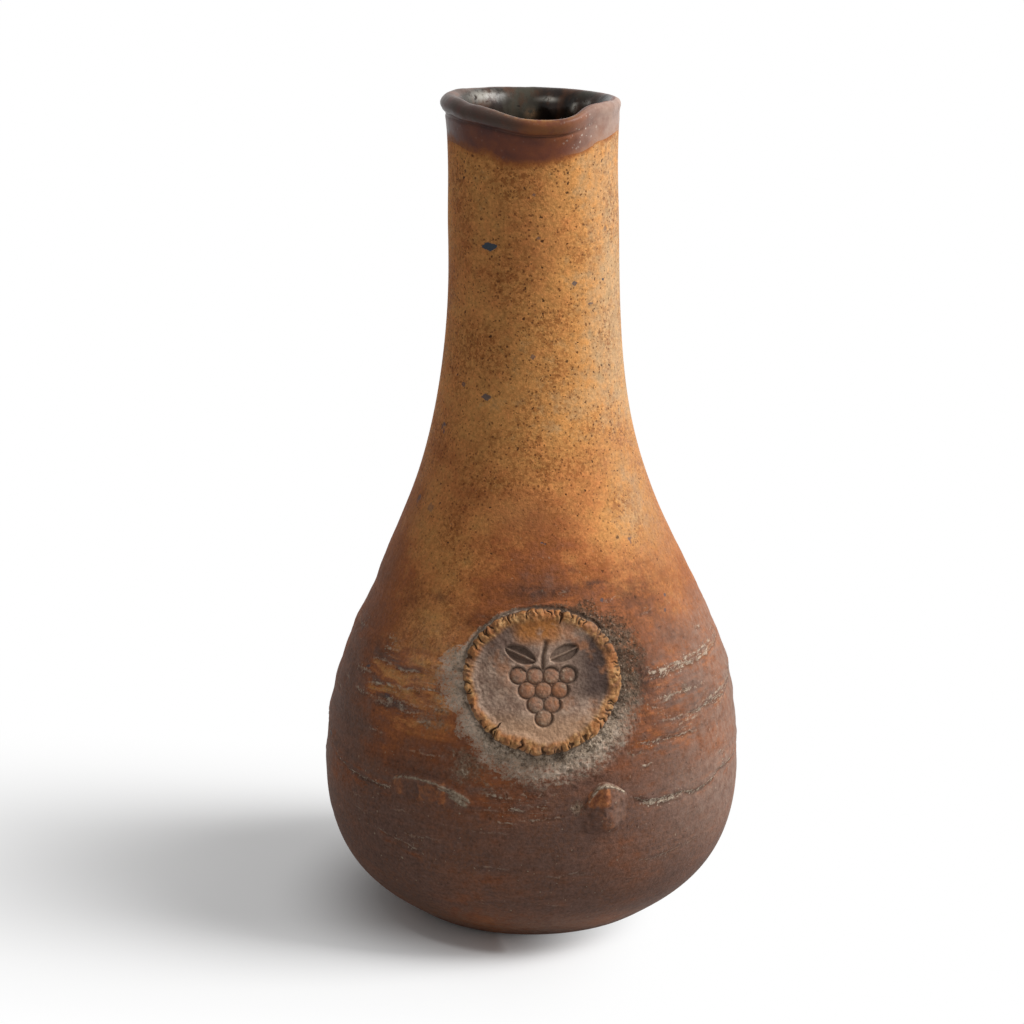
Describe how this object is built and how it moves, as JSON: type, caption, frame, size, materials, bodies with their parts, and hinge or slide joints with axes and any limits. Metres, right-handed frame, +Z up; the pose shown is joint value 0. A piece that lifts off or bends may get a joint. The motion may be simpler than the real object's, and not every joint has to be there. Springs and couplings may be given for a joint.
{
  "type": "pottery carafe",
  "caption": "Wheel-thrown stoneware wine carafe: round belly, long narrow neck, rolled rim with a pulled pouring lip, glazed inside and over the rim, and an applied clay medallion.",
  "frame": {"origin": "middle of the flat foot, on the table", "axes": "+Z up along the turning axis; -Y is the front, where the medallion is; +X is to the right seen from the front"},
  "size_m": [0.1278, 0.1289, 0.25],
  "materials": {
    "bare_stoneware": "bare wood-fired stoneware, matt, speckled",
    "liner_glaze": "glossy dark brown glaze",
    "rim_glaze": "satin purple-brown glaze",
    "ash_slip": "rough grey slip with ash",
    "medallion_clay": "bare fired clay, golden on the raised border",
    "dab_clay": "bare fired clay, rough"
  },
  "bodies": {
    "root": {"thrown_body": "bare_stoneware", "liner_glaze": "liner_glaze", "rim_glaze": "rim_glaze", "slip_bed": "ash_slip", "medallion": "medallion_clay", "clay_dab_right": "dab_clay", "clay_dab_left": "dab_clay"}
  },
  "joints": []
}
